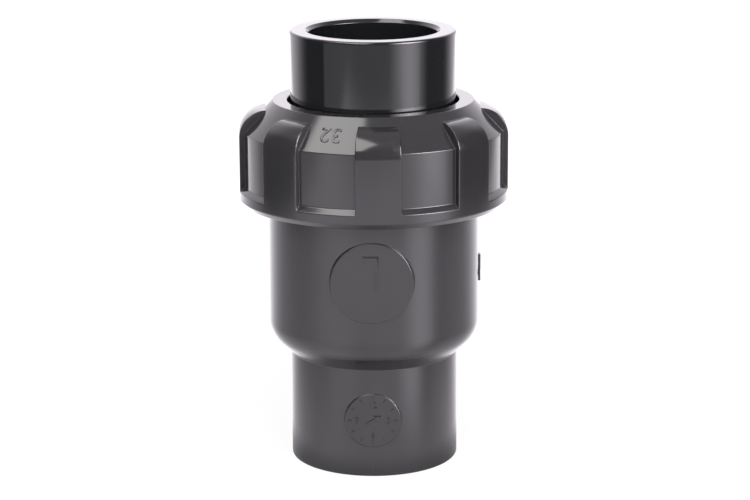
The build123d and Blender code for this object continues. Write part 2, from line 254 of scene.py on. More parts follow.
def thread_ridge(piece, material, radius, height, crest, base, pitch, turns, foot):
    """A right-handed thread's ridge on a wall of this radius, joined to the piece.
    It stands outwards, or inwards where its height is negative, and sinks into the wall at its ends."""
    line = piece.node("GeometryNodeCurveSpiral", {
        "Resolution": 96, "Rotations": turns, "Start Radius": radius, "End Radius": radius,
        "Height": pitch * turns,
    })
    line = line.node("GeometryNodeSetCurveNormal", {"Curve": line}, mode="Z_UP")
    sink = height * -0.25

    def corner(out, half):
        return piece.node("ShaderNodeCombineXYZ", {"X": out, "Y": half})

    section = piece.node("GeometryNodeCurvePrimitiveQuadrilateral", {
        "Point 1": corner(sink, base * -0.6), "Point 2": corner(height, crest * -0.5),
        "Point 3": corner(height, crest * 0.5), "Point 4": corner(sink, base * 0.6),
    }, mode="POINTS")
    section = section.node("GeometryNodeFilletCurve", {
        "Curve": section, "Count": 3, "Radius": crest * 0.25, "Limit Radius": True,
    }, mode="POLY")
    along = piece.node("GeometryNodeSplineParameter")
    fade = along.ease(0.0, 0.05) * (1 - along).ease(0.0, 0.05) + 0.02
    ridge = line.node("GeometryNodeCurveToMesh", {
        "Curve": line, "Profile Curve": section, "Scale": fade, "Fill Caps": True,
    })
    lift = piece.node("ShaderNodeCombineXYZ", {"Z": foot})
    ridge = ridge.node("GeometryNodeTransform", {"Geometry": ridge, "Translation": lift})
    both = piece.node("GeometryNodeJoinGeometry", {0: [piece, ridge]})
    both = both.node("GeometryNodeRealizeInstances", {0: both})
    return both.node("GeometryNodeSetMaterial", {"Geometry": both, "Material": material})


def finish(name):
    """A new material, a wire to start from, the place in mm, and noise of a size in mm."""
    material = bpy.data.materials.new(name)
    material.use_nodes = True
    start = Wire(material.node_tree)
    place = start.node("ShaderNodeTexCoord", out="Object")
    place = start.node("ShaderNodeVectorMath", {0: place, "Scale": 1 / MM}, operation="SCALE")

    def noise(size, detail=2.0, stretch=(1, 1, 1), distortion=0.0):
        grid = start.node("ShaderNodeVectorMath", {0: place, 1: stretch}, operation="MULTIPLY")
        return start.node("ShaderNodeTexNoise", {
            "Vector": grid, "Scale": 1 / size, "Detail": detail, "Distortion": distortion,
        })

    return material, start, place, noise


def coat(material, colour, rough, height):
    """Gives the material its colour and roughness, and a relief with this height in mm."""
    normal = height.node("ShaderNodeBump", {"Strength": 1.0, "Distance": MM, "Height": height})
    sockets = material.node_tree.nodes["Principled BSDF"].inputs
    for key, wire in (("Base Color", colour), ("Roughness", rough), ("Normal", normal)):
        material.node_tree.links.new(wire.socket, sockets[key])
    return material


def moulded_pvc(name, deep, pale, gloss):
    """Moulded PVC-U: dark grey with faint flow marks, an uneven gloss, hairline scuffs and dust. Where a
    piece marks its points, they are rougher and painted near black as painted shade.
    """
    material, start, place, noise = finish(name)
    flow = noise(22, 3, (1, 1, 0.45), 0.6)
    hair = noise(7, 3, (1, 1, 0.3), 1.2) - 0.5
    line = 1 - hair.maths("ABSOLUTE", hair).ease(0.0, 0.006)
    scuff = line * noise(16).ease(0.55, 0.7)
    speck = start.node("ShaderNodeTexVoronoi", {"Vector": place, "Scale": 0.3})
    dust = (1 - speck.ease(0.03, 0.07)) * noise(9).ease(0.56, 0.62)
    worn = start.node("ShaderNodeAttribute", out="Fac", attribute_name="worn")
    matt = start.node("ShaderNodeAttribute", out="Fac", attribute_name="matt")
    rub = worn * noise(9).ease(0.35, 0.75)
    chalk = (*(0.5 * part + 0.09 for part in pale[:3]), 1)
    marks = 0.12 * rub + 0.12 * scuff + 0.4 * dust
    # Painted shade: the marked places, the ribs' steep sides, are painted this near-black colour.
    painted_shade_colour = (*(0.3 * part for part in deep[:3]), 1)
    colour = matt.tint(marks.tint(flow.ease(0.3, 0.7).tint(deep, pale), chalk), painted_shade_colour)
    rough = gloss + 0.05 * (noise(5) - 0.5) + 0.04 * rub + 0.1 * scuff + 0.3 * dust + 0.4 * matt
    return coat(material, colour, rough, 0.008 * noise(14, 1) + 0.0008 * noise(0.5) + 0.004 * dust)


def raised(name, drawing, low, high, place, soften=0.05):
    """A flat shape, of text and its size or of loops of points, that stands from low to high, in mm.
    place says where a point goes that lies across, up and out on the surface."""
    lettered = isinstance(drawing, tuple)
    drawn = bpy.data.curves.new(name, "FONT" if lettered else "CURVE")
    if lettered:
        drawn.body, drawn.size = drawing
        drawn.align_x = "CENTER"
        drawn.align_y = "CENTER"
    else:
        drawn.dimensions = "2D"
        for loop in drawing:
            spline = drawn.splines.new("POLY")
            spline.points.add(len(loop) - 1)
            for point, (x, y) in zip(spline.points, loop):
                point.co = (x, y, 0, 1)
            spline.use_cyclic_u = True
    drawn.fill_mode = "BOTH"
    drawn.extrude = (high - low) / 2 - soften
    drawn.bevel_depth = soften
    drawn.bevel_resolution = 1
    drawn.offset = -soften
    holder = bpy.data.objects.new(name, drawn)
    bpy.context.scene.collection.objects.link(holder)
    bpy.context.view_layer.update()
    flat = bpy.data.meshes.new_from_object(holder.evaluated_get(bpy.context.evaluated_depsgraph_get()))
    bpy.data.objects.remove(holder)
    points = [place(spot.co.x, spot.co.y, spot.co.z + (low + high) / 2) for spot in flat.vertices]
    piece = solid(name, points, [tuple(face.vertices) for face in flat.polygons])
    piece.data.set_sharp_from_angle(angle=math.radians(25))
    return piece


def join(piece, *others):
    """Makes the others part of the piece. Their closed shells sink into its own."""
    with bpy.context.temp_override(active_object=piece, selected_editable_objects=[piece, *others]):
        bpy.ops.object.join()


pad_radius = 13.4
pad_z = 68.0
pad_proud = 0.25
pad_face = -body_outer - pad_proud
dial_radius = 9.2
dial_z = 19.5
dial_proud = 0.2
dial_face = -socket_outer - dial_proud
disc_depth = 4.0
disc_draft = 8.0
disc_edge = 0.35
to_front = Matrix.Rotation(math.radians(90), 4, "X")


def round_pad(name, radius, z, face):
    """A flat disc at the front of the body with sloping sides, sunk into its wall."""
    foot = radius + disc_depth * math.tan(math.radians(disc_draft))
    pad = turned(name, [
        (0, 0, 0), (foot, 0, 0), (radius, disc_depth, disc_edge), (0, disc_depth, 0),
    ], 128)
    pad.data.transform(Matrix.Translation((0, (face + disc_depth) * MM, z * MM)) @ to_front)
    return pad


def round_axis(piece, material, copies, turn):
    """Copies of the piece round the Z axis, the first at this turn, with their edges joined."""
    points = piece.node("GeometryNodePoints", {"Count": copies})
    index = piece.node("GeometryNodeInputIndex")
    angle = index * (2 * math.pi) * copies.maths("DIVIDE", 1.0, copies) + turn
    rotation = piece.node("ShaderNodeCombineXYZ", {"Z": angle})
    ring = piece.node("GeometryNodeInstanceOnPoints", {
        "Points": points, "Instance": piece, "Rotation": rotation,
    })
    ring = ring.node("GeometryNodeRealizeInstances", {0: ring})
    ring = ring.node("GeometryNodeMergeByDistance", {"Geometry": ring, "Distance": 0.005 * MM})
    return ring.node("GeometryNodeSetMaterial", {"Geometry": ring, "Material": material})


def on_pad(middle_x, middle_z, face, turn=0.0):
    """Places for marks on a flat face at the front, turned by this many degrees."""
    swing = Matrix.Rotation(math.radians(turn), 2)

    def place(across, up, out):
        spot = swing @ Vector((across, up))
        return (middle_x + spot.x, face - out, middle_z + spot.y)

    return place


body_pvc = moulded_pvc("body_pvc", (0.0345, 0.0325, 0.036, 1), (0.0405, 0.0385, 0.042, 1), 0.17)
mark_low, mark_high = -0.3, 0.25
mark_rise = 3.4
dial_high = 0.35
hour_radius = 5.2
hour_size = 3.0
pad = round_pad("pad", pad_radius, pad_z, pad_face)
seven = [(-3.0, 5.6), (2.2, 5.6), (2.2, -5.4), (0.7, -5.4), (0.7, 4.1), (-3.0, 4.1)]
pad_mark = raised("pad_mark", [seven], mark_low, mark_high, on_pad(0, pad_z + mark_rise, pad_face), 0.1)
dial = round_pad("dial", dial_radius, dial_z, dial_face)
tick = [(-0.25, 6.9), (0.25, 6.9), (0.25, 8.2), (-0.25, 8.2)]
ticks = raised("dial_ticks", [tick], mark_low, dial_high, lambda across, up, out: (across, up, out), 0.1)
by_rule(ticks, "ticks_round_dial", round_axis, material=body_pvc, copies=12, turn=0.0)
ticks.data.transform(Matrix.Translation((0, dial_face * MM, dial_z * MM)) @ to_front)
dial_marks = [ticks]
for hour in (12, 3, 6, 9):
    far = Matrix.Rotation(math.radians(-30 * hour), 2) @ Vector((0, hour_radius))
    place = on_pad(far.x, dial_z + far.y, dial_face)
    dial_marks.append(raised("hour", (str(hour), hour_size), mark_low, dial_high, place, 0.08))
pointer = [(-0.4, -2.6), (0.4, -2.6), (0.4, 1.0), (1.3, 1.0), (0, 3.2), (-1.3, 1.0), (-0.4, 1.0)]
pointer_place = on_pad(0, dial_z, dial_face, -60)
dial_marks.append(raised("pointer", [pointer], mark_low, 1.4 * dial_high, pointer_place, 0.15))

arrow_foot_z = 59.8
arrow_head = 4.2
arrow_length = 9.4
arrow_width = 6.0
arrow_stem = 2.2
arrow_proud = 0.7
arrow_sunk = 0.4
neck_z = arrow_foot_z + arrow_head
head_z = arrow_foot_z + arrow_length
arrow_plan = [
    (0, arrow_foot_z), (arrow_width / 2, neck_z), (arrow_stem / 2, neck_z), (arrow_stem / 2, head_z),
    (-arrow_stem / 2, head_z), (-arrow_stem / 2, neck_z), (-arrow_width / 2, neck_z),
]


def on_wall(across, up, out):
    """A place on the body's round wall, on its right side."""
    angle = across / body_outer
    return ((body_outer + out) * math.cos(angle), (body_outer + out) * math.sin(angle), up)


flow_arrow = raised("flow_arrow", [arrow_plan], -arrow_sunk, arrow_proud - 0.02, on_wall, 0.15)
join(body_shell, pad, pad_mark, dial, *dial_marks, flow_arrow)
thread_pitch = 4.0
thread_height = 1.7
thread_crest = 1.1
thread_base = 2.3
body_thread_turns = 3.0
body_thread_z = nut_foot_z + 5.8
by_rule(
    body_shell, "body_thread", thread_ridge, material=body_pvc, radius=thread_root * MM,
    height=thread_height * MM, crest=thread_crest * MM, base=thread_base * MM,
    pitch=thread_pitch * MM, turns=body_thread_turns, foot=body_thread_z * MM,
)


def stands_for(piece, node, body):
    """The piece rides with this body and shows in place of the node."""
    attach(piece, body)
    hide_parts(node)


stands_for(body_shell, "valve_body", "valve_body")


# End connector: the inlet socket, turned smooth outside, with a collar at its foot that the nut's
# web pulls down on the body. PVC-U from another batch, darker and glossier than the body.
connector_foot = 27.2
connector_outer = 27.5
collar_outer = 36.6
collar_foot_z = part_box("end_connector")[0].z / MM
web_z = collar_foot_z + 5.0
connector_top_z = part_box("end_connector")[1].z / MM
connector_shell = turned("connector_shell", [
    (throat_radius, collar_foot_z, 0.5),
    (collar_outer, collar_foot_z, 0.5),
    (collar_outer, web_z, 0.5),
    (connector_foot, web_z, 0.5),
    (connector_outer, connector_top_z, 0.8),
    (socket_bore + mouth_chamfer, connector_top_z, 0.25),
    (socket_bore, connector_top_z - mouth_chamfer, 0.3),
    (socket_bore, connector_top_z - socket_depth, 0.3),
    (throat_radius, connector_top_z - socket_depth, 0.5),
])
connector_pvc = moulded_pvc("connector_pvc", (0.012, 0.0125, 0.014, 1), (0.015, 0.0155, 0.017, 1), 0.09)
connector_shell.data.materials.append(connector_pvc)
stands_for(connector_shell, "end_connector", "connector")


# Union nut: a threaded skirt under a web, with eight broad grip ribs that end in domes. PVC-U,
# moulded in one shot; the pockets between the ribs are flat-bottomed with a ledge at the foot.
nut_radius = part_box("union_nut")[1].x / MM
nut_top_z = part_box("union_nut")[1].z / MM
pocket_depth = 1.8
pocket_radius = nut_radius - pocket_depth
cone_width = 9.7
cone_drop = 10.1
nut_flat = pocket_radius - cone_width
nut_hole = 28.4
nut_root = 38.9
nut_crest = 37.2
nut_thread_turns = 3.45
number_size = 7.6
pilot_depth = 6.0
rim_chamfer = 1.8
rim_foot_z = nut_foot_z + 1.9
rim_top_z = nut_foot_z + 4.75
ledge_z = rim_top_z + 1.55
ledge_corner = 0.35
dome_round = 9.2
dome_z = nut_top_z - 11.8
rib_count = 8
rib_angle = 19.2
rib_turn = 3.0
rib_wall = 0.12
rib_edge = 0.3
pocket_corner = 0.12
spoke_centre = Vector((30, 97))

dome_middle = Vector((nut_radius - dome_round, dome_z))
cone_down = Vector((cone_width, -cone_drop)).normalized()
cone_out = Vector((-cone_down.y, cone_down.x))
cone_gap = (dome_middle - Vector((nut_flat, nut_top_z))).dot(cone_out)
dome_end = dome_middle - cone_out * cone_gap - cone_down * math.sqrt(dome_round**2 - cone_gap**2)
dome_turn = (dome_end - dome_middle).angle(Vector((1, 0)))


def nut_section(face):
    """The nut's outline with this face between its flat top and its rim."""
    return rounded([
        (nut_hole, web_z, soft_edge),
        (nut_hole, nut_top_z, 0.4),
        (nut_flat, nut_top_z, 0.5),
        *face,
        (nut_radius, rim_foot_z, 0.5),
        (nut_radius - rim_chamfer, nut_foot_z, 0.4),
        (nut_root, nut_foot_z, 0.3),
        (nut_root, web_z - pilot_depth, 0.2),
        (nut_crest, web_z - pilot_depth, 0.2),
        (nut_crest, web_z, 0.2),
    ])


pocket_section = nut_section([
    (pocket_radius, nut_top_z - cone_drop, 0.4),
    (pocket_radius, ledge_z, ledge_corner),
    (nut_radius, rim_top_z, 0.4),
])
rib_section = nut_section([
    (dome_end.x, dome_end.y, 0.3),
    (nut_radius, dome_z + dome_round * math.tan(dome_turn / 2), dome_round),
])


def bearing(point):
    return math.atan2(point.y - spoke_centre.y, point.x - spoke_centre.x)


def on_spoke(face, angle):
    """Where a spoke from the centre at this angle meets the face, and the wear there."""
    spoke = Vector((math.cos(angle), math.sin(angle)))
    for (near, wear), (far, next_wear) in zip(face, face[1:]):
        before = spoke.cross(near - spoke_centre)
        after = spoke.cross(far - spoke_centre)
        if before * after <= 0 and before != after:
            share = before / (before - after)
            return near.lerp(far, share), wear + (next_wear - wear) * share
    raise ValueError("the spoke misses the face")


def agreeing(first, second):
    """How many pairs of points agree before the first pair that doesn't."""
    return next(i for i, (a, b) in enumerate(zip(first, second)) if (a[0] - b[0]).length > 0.001)


def matched(first, second):
    """Two sections with equal ends as pairs of points, one pair on each spoke through their faces."""
    head = agreeing(first, second)
    tail = agreeing(first[::-1], second[::-1])
    faces = [section[head - 1:len(section) - tail + 1] for section in (first, second)]
    angles = sorted({bearing(point) for face in faces for point, wear in face[1:-1]}, reverse=True)
    kept = [angles[0]]
    for angle in angles:
        if kept[-1] - angle > math.radians(0.12):
            kept.append(angle)
    middle = [(on_spoke(faces[0], angle), on_spoke(faces[1], angle)) for angle in kept]
    ends = list(zip(first[:head], second[:head])), list(zip(first[-tail:], second[-tail:]))
    return ends[0] + middle + ends[1]


def across_rib():
    """How far out the nut's face stands at each place across one rib and half a pocket each side:
    the place in mm from the rib's middle, 0 in the pocket to 1 on the rib, and the wear."""
    half = math.radians(rib_angle) / 2 * nut_radius
    side = math.pi / rib_count * nut_radius
    line = rounded([
        (-side, -1, 0), (-side, 0, 0),
        (-half - rib_wall / 2, 0, pocket_corner), (-half + rib_wall / 2, pocket_depth, rib_edge),
        (half - rib_wall / 2, pocket_depth, rib_edge), (half + rib_wall / 2, 0, pocket_corner),
        (side, 0, 0), (side, -1, 0),
    ])[1:-1]
    columns = []
    for (point, wear), (after, next_wear) in zip(line, line[1:]):
        parts = max(1, math.ceil((after - point).length / 1.5))
        for k in range(parts):
            between = point.lerp(after, k / parts)
            columns.append((between.x, between.y / pocket_depth, wear))
    columns.append((side, 0.0, 0.0))
    return columns


def on_side(share):
    """1 on a rib's steep side and 0 on its face and in the pocket."""
    return 1.0 if 0.06 < share < 0.9 else 0.0


rows = matched(pocket_section, rib_section)
columns = across_rib()
points, worn, matt, faces = [], [], [], []
for i, (place, share, wear) in enumerate(columns):
    angle = place / nut_radius
    for j, ((low_point, low_wear), (high_point, high_wear)) in enumerate(rows):
        point = low_point.lerp(high_point, share)
        points.append((point.x * math.cos(angle), point.x * math.sin(angle), point.y))
        step = min(1.0, (high_point - low_point).length / pocket_depth)
        worn.append(max(low_wear + (high_wear - low_wear) * share, wear * step))
        # The ribs' steep sides are marked to be rougher and painted darker, as painted shade.
        matt.append(on_side(share) * min(1.0, 2 * step))
        if i:
            above = (j + 1) % len(rows)
            here, back = i * len(rows), (i - 1) * len(rows)
            faces.append((back + j, here + j, here + above, back + above))
nut_shell = solid("nut_shell", points, faces, worn, matt)


nut_pvc = moulded_pvc("nut_pvc", (0.0345, 0.0325, 0.036, 1), (0.0405, 0.0385, 0.042, 1), 0.12)
by_rule(
    nut_shell, "grip_ribs", round_axis, material=nut_pvc, copies=rib_count,
    turn=math.radians(rib_turn - 90),
)
cone_middle = Vector((nut_flat + pocket_radius, 2 * nut_top_z - cone_drop)) / 2
number_turn = math.radians(rib_turn - 90 - 180 / rib_count)


def on_cone(across, up, out):
    """A place on the cone of the pocket left of the front rib, for a number that reads from behind."""
    spot = cone_middle + cone_down * up + cone_out * out
    angle = number_turn - across / cone_middle.x
    return (spot.x * math.cos(angle), spot.x * math.sin(angle), spot.y)


join(nut_shell, raised("nut_number", ("32", number_size), mark_low, mark_high, on_cone))
by_rule(
    nut_shell, "nut_thread", thread_ridge, material=nut_pvc, radius=nut_root * MM,
    height=-thread_height * MM, crest=thread_crest * MM, base=thread_base * MM,
    pitch=thread_pitch * MM, turns=nut_thread_turns, foot=(body_thread_z - thread_pitch / 2) * MM,
)
stands_for(nut_shell, "union_nut", "nut")


# Seat carrier: a ring turned from grey PVC-U that stops on the body's ledge. Its nozzle carries the
# seat that the poppet closes on; an O-ring lies in its face and another in its side.
carrier_low_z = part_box("seat_carrier")[0].z / MM
carrier_high_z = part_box("seat_carrier")[1].z / MM
carrier_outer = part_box("seat_carrier")[1].x / MM
face_groove_radius = 24.5
groove_half = 2.1
face_groove_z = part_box("connector_o_ring")[0].z / MM
side_groove_z = 102.6
ring_section = 2.7
side_groove_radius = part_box("carrier_o_ring")[1].x / MM - ring_section
nozzle_radius = 24.0
nozzle_foot_radius = 23.0
nozzle_foot_z = 92.0
seat_outer = 20.4
seat_inner = 18.6
seat_lead = 1.1
carrier_shell = turned("carrier_shell", [
    (throat_radius, carrier_high_z, 0.4),
    (face_groove_radius - groove_half, carrier_high_z, 0.2),
    (face_groove_radius - groove_half, face_groove_z, 0.2),
    (face_groove_radius + groove_half, face_groove_z, 0.2),
    (face_groove_radius + groove_half, carrier_high_z, 0.2),
    (carrier_outer, carrier_high_z, 0.4),
    (carrier_outer, side_groove_z + groove_half, 0.2),
    (side_groove_radius, side_groove_z + groove_half, 0.2),
    (side_groove_radius, side_groove_z - groove_half, 0.2),
    (carrier_outer, side_groove_z - groove_half, 0.2),
    (carrier_outer, carrier_ledge_z, 0.4),
    (nozzle_radius, carrier_ledge_z, 1.5),
    (nozzle_foot_radius, nozzle_foot_z, 0.4),
    (seat_outer, carrier_low_z, 0.5),
    (seat_inner, carrier_low_z, 0.4),
    (throat_radius, carrier_low_z + seat_lead, 0.4),
])
insert_pvc = moulded_pvc("insert_pvc", (0.07, 0.07, 0.074, 1), (0.088, 0.088, 0.092, 1), 0.38)
carrier_shell.data.materials.append(insert_pvc)
stands_for(carrier_shell, "seat_carrier", "valve_body")


# O-rings: two black EPDM rings squeezed into the carrier's grooves. One seals under the connector's
# collar and the other in the body's bore.
squeeze_round = 1.3


def black_rubber(name):
    """Moulded EPDM: black, satin, with a fine grain and a little talc left in patches."""
    material, start, place, noise = finish(name)
    talc = noise(2.5, 4).ease(0.55, 0.75)
    colour = talc.tint((0.016, 0.016, 0.017, 1), (0.045, 0.045, 0.044, 1))
    return coat(material, colour, 0.42 + 0.16 * talc, 0.004 * noise(0.35, 3) + 0.01 * noise(4))


seal_rubber = black_rubber("seal_rubber")
for node in ("connector_o_ring", "carrier_o_ring"):
    ring_low, ring_high = (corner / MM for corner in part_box(node))
    inner = face_groove_radius * 2 - ring_high.x if node == "connector_o_ring" else side_groove_radius
    middle_z = (ring_low.z + ring_high.z) / 2
    ring = turned(f"{node}_shell", [
        (inner, ring_low.z, squeeze_round),
        (inner, ring_high.z, squeeze_round),
        (ring_high.x, ring_high.z, squeeze_round),
        (ring_high.x, ring_low.z, squeeze_round),
    ])
    ring.data.materials.append(seal_rubber)
    stands_for(ring, node, "valve_body")


# Guide cage: a PVC-U moulding in the foot of the chamber, a rim and a hub joined by four arms. The
# hub's flange carries the spring and the flow passes between the arms.
cage_low, cage_high = (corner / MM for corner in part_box("guide_cage"))
cage_outer = cage_high.x
rim_inner = 26.5
rim_top = 56.0
hub_bore = 4.53
hub_outer = 8.1
flange_outer = 11.5
flange_foot_z = 52.0
arm_width = 3.0
arm_flare = 1.6
cage_shell = turned("cage_shell", [
    (hub_bore, cage_low.z, 0.3),
    (hub_bore, cage_high.z, 0.3),
    (hub_outer, cage_high.z, 0.5),
    (hub_outer, rim_top, 0.5),
    (flange_outer, rim_top, 0.3),
    (flange_outer, flange_foot_z, 0.4),
    (hub_outer, flange_foot_z, 0.8),
    (hub_outer, cage_low.z, 0.8),
])
rim = turned("cage_rim", [
    (rim_inner, cage_ledge_z, 0.5),
    (rim_inner, rim_top, 0.5),
    (cage_outer, rim_top, 0.5),
    (cage_outer, cage_ledge_z, 0.5),
])
arm_side = [
    (hub_outer - 0.5, arm_width / 2 + arm_flare),
    (hub_outer + arm_flare / 3, arm_width / 2 + arm_flare / 2),
    (hub_outer + arm_flare * 1.3, arm_width / 2 + arm_flare / 8),
    (hub_outer + arm_flare * 2.5, arm_width / 2),
    (rim_inner - arm_flare * 2.5, arm_width / 2),
    (rim_inner - arm_flare * 1.3, arm_width / 2 + arm_flare / 8),
    (rim_inner - arm_flare / 3, arm_width / 2 + arm_flare / 2),
    (rim_inner + 0.5, arm_width / 2 + arm_flare),
]
arm_plan = arm_side + [(x, -y) for x, y in reversed(arm_side)]
arm = raised("cage_arm", [arm_plan], cage_ledge_z, rim_top, lambda x, y, z: (x, y, z), 0.4)
by_rule(arm, "cage_arms", round_axis, material=insert_pvc, copies=4, turn=math.radians(45))
cage_shell.data.materials.append(insert_pvc)
rim.data.materials.append(insert_pvc)
join(cage_shell, rim, arm)
stands_for(cage_shell, "guide_cage", "valve_body")


# Guide bush: a flanged sleeve turned from white PTFE and pressed into the cage's hub. The poppet's
# stem slides in it.
bush_low, bush_high = (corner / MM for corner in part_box("guide_bush"))
bush_bore = 3.05
bush_outer = 4.5
bush_flange = 1.0
bush_shell = turned("bush_shell", [
    (bush_bore, bush_low.z, 0.3),
    (bush_bore, bush_high.z, 0.3),
    (bush_high.x, bush_high.z, 0.25),
    (bush_high.x, bush_high.z - bush_flange, 0.2),
    (bush_outer, bush_high.z - bush_flange, 0.2),
    (bush_outer, bush_low.z, 0.3),
], 96)


def waxy_plastic(name):
    """Turned PTFE: a waxy white with faint grey clouds and the lathe's fine rings."""
    material, start, place, noise = finish(name)
    cloud = noise(3, 3).ease(0.35, 0.7)
    colour = cloud.tint((0.76, 0.75, 0.7, 1), (0.84, 0.83, 0.79, 1))
    return coat(material, colour, 0.4 + 0.1 * cloud, 0.006 * noise(0.5, 2, (0.2, 0.2, 4)))


bush_shell.data.materials.append(waxy_plastic("bush_plastic"))
stands_for(bush_shell, "guide_bush", "valve_body")


# Closing spring: seven turns of stainless wire between the cage's hub and the poppet, with an end
# turn closed and ground flat at each end. It pushes the poppet up on its seat.
spring_low, spring_high = (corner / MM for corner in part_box("closing_spring"))
spring_wire = 1.2
spring_turns = 7.0
closed_turns = 1.0


def bright_steel(name, grain, shine=0.2):
    """Bright stainless steel with fine lines across the way that grain is stretched."""
    material, start, place, noise = finish(name)
    lines = noise(0.7, 3, grain)
    stain = noise(5, 2).ease(0.35, 0.7)
    colour = stain.tint((0.6, 0.59, 0.575, 1), (0.68, 0.675, 0.665, 1))
    material.node_tree.nodes["Principled BSDF"].inputs["Metallic"].default_value = 1.0
    return coat(material, colour, shine + 0.14 * lines + 0.05 * stain, 0.004 * lines)


def ground_coil(piece, material, radius, wire, turns, closed, low, high):
    """A round wire wound between two heights, its end turns closed up and ground flat."""
    line = piece.node("GeometryNodeCurvePrimitiveLine", {"End": (0, 0, 1)})
    line = line.node("GeometryNodeResampleCurve", {"Curve": line, "Count": 360})
    turn = piece.node("GeometryNodeSplineParameter") * turns
    open_height = (high - low) - 2 * closed * wire
    pitch = open_height.maths("DIVIDE", open_height, turns - 2 * closed)
    free = closed * wire + (turn - closed) * pitch
    rise = turn.maths("SMOOTH_MAX", turn * wire, free, 0.3 * MM)
    rise = turn.maths("SMOOTH_MIN", rise, (high - low) - (turns - turn) * wire, 0.3 * MM)
    angle = turn * (2 * math.pi)
    spot = piece.node("ShaderNodeCombineXYZ", {
        "X": angle.maths("COSINE", angle) * radius,
        "Y": angle.maths("SINE", angle) * radius,
        "Z": low + rise,
    })
    line = line.node("GeometryNodeSetPosition", {"Geometry": line, "Position": spot})
    section = piece.node("GeometryNodeCurvePrimitiveCircle", {"Resolution": 14, "Radius": wire * 0.5})
    coil = line.node("GeometryNodeCurveToMesh", {"Curve": line, "Profile Curve": section, "Fill Caps": True})
    place = piece.node("GeometryNodeInputPosition")
    parts = [place.node("ShaderNodeSeparateXYZ", {0: place}, k) for k in range(3)]
    flat = low.maths("MAXIMUM", parts[2], low)
    ground = piece.node("ShaderNodeCombineXYZ", {
        "X": parts[0], "Y": parts[1], "Z": low.maths("MINIMUM", flat, high),
    })
    coil = coil.node("GeometryNodeSetPosition", {"Geometry": coil, "Position": ground})
    coil = coil.node("GeometryNodeSetShadeSmooth", {"Geometry": coil})
    coil = coil.node("GeometryNodeRealizeInstances", {0: coil})
    return coil.node("GeometryNodeSetMaterial", {"Geometry": coil, "Material": material})


spring_steel = bright_steel("spring_steel", (1, 1, 1), 0.16)
spring_shell = bpy.data.objects.new("spring_shell", bpy.data.meshes.new("spring_shell"))
bpy.context.scene.collection.objects.link(spring_shell)
by_rule(
    spring_shell, "spring_coil", ground_coil, material=spring_steel,
    radius=(spring_high.x - spring_wire / 2) * MM, wire=spring_wire * MM, turns=spring_turns,
    closed=closed_turns, low=spring_low.z * MM, high=spring_high.z * MM,
)
stands_for(spring_shell, "closing_spring", "valve_body")
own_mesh(spring_shell)


# Poppet: the moving disc, a PVC-U cup on the stem that carries the seal in its bed. The hub below
# it runs inside the spring, whose top turn bears on the cup's foot.
poppet_low, poppet_high = (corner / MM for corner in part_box("poppet"))
stem_bore = 2.55
poppet_hub = 8.6
poppet_foot_z = spring_high.z
poppet_foot = 11.4
poppet_cone_z = 84.5
poppet_wall = 1.3
bed_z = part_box("poppet_seal")[0].z / MM
poppet_shell = turned("poppet_shell", [
    (stem_bore, poppet_low.z, 0.3),
    (stem_bore, bed_z, 0.3),
    (poppet_high.x - poppet_wall, bed_z, 0.3),
    (poppet_high.x - poppet_wall, poppet_high.z, 0.4),
    (poppet_high.x, poppet_high.z, 0.4),
    (poppet_high.x, poppet_cone_z, 0.8),
    (poppet_foot, poppet_foot_z, 0.6),
    (poppet_hub, poppet_foot_z, 0.2),
    (poppet_hub, poppet_low.z, 0.8),
])
poppet_shell.data.materials.append(insert_pvc)
stands_for(poppet_shell, "poppet", "poppet")


# Poppet seal: a flat ring cut from EPDM sheet, which meets the carrier's seat. It lies in the
# poppet's bed and is pressed down by the nose's flange.
seal_low, seal_high = (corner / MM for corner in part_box("poppet_seal"))
seal_inner = 13.5
seal_shell = turned("seal_shell", [
    (seal_inner, seal_low.z, 0.4),
    (seal_inner, seal_high.z, 0.4),
    (seal_high.x, seal_high.z, 0.7),
    (seal_high.x, seal_low.z, 0.4),
])
seal_shell.data.materials.append(seal_rubber)
stands_for(seal_shell, "poppet_seal", "poppet")


# Poppet nose: a round-shouldered PVC-U cap that clamps the seal and parts the flow as it comes
# through the seat. Its spigot centres the seal, and its flat top takes the washer.
nose_low, nose_high = (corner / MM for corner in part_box("poppet_nose"))
nose_spigot = 13.2
nose_round = 5.5
nose_shell = turned("nose_shell", [
    (stem_bore, nose_low.z, 0.3),
    (stem_bore, nose_high.z, 0.3),
    (nose_high.x, nose_high.z, nose_round),
    (nose_high.x, seal_high.z, 0.3),
    (nose_spigot, seal_high.z, 0.2),
    (nose_spigot, nose_low.z, 0.4),
])
nose_shell.data.materials.append(insert_pvc)
stands_for(nose_shell, "poppet_nose", "poppet")


# Poppet stem: a bright stainless rod with a shoulder under the poppet, a screw thread at its top
# for the nut, and a groove near its foot for the clip.
stem_low, stem_high = (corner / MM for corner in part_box("poppet_stem"))
stem_radius = 3.0
stem_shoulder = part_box("poppet_stem")[1].x / MM
shoulder_height = 2.0
screw_radius = 2.5
screw_root = 2.12
screw_pitch = 0.8
groove_radius = 2.2
groove_low_z = 44.35
groove_high_z = 45.25
stem_chamfer = 0.5
screw_foot_z = nose_high.z - 1.0
stem_shell = turned("stem_shell", [
    (0, stem_low.z, 0),
    (stem_radius - stem_chamfer, stem_low.z, 0.1),
    (stem_radius, stem_low.z + stem_chamfer, 0.1),
    (stem_radius, groove_low_z, 0.05),
    (groove_radius, groove_low_z, 0.05),
    (groove_radius, groove_high_z, 0.05),
    (stem_radius, groove_high_z, 0.05),
    (stem_radius, poppet_low.z - shoulder_height, 0.2),
    (stem_shoulder, poppet_low.z - shoulder_height, 0.3),
    (stem_shoulder, poppet_low.z, 0.2),
    (screw_radius, poppet_low.z, 0.1),
    (screw_radius, screw_foot_z, 0.2),
    (screw_root, screw_foot_z + 0.4, 0.1),
    (screw_root, stem_high.z - stem_chamfer / 2, 0.1),
    (screw_root - stem_chamfer / 2, stem_high.z, 0.1),
    (0, stem_high.z, 0),
], 64)
turned_steel = bright_steel("turned_steel", (0.15, 0.15, 5))
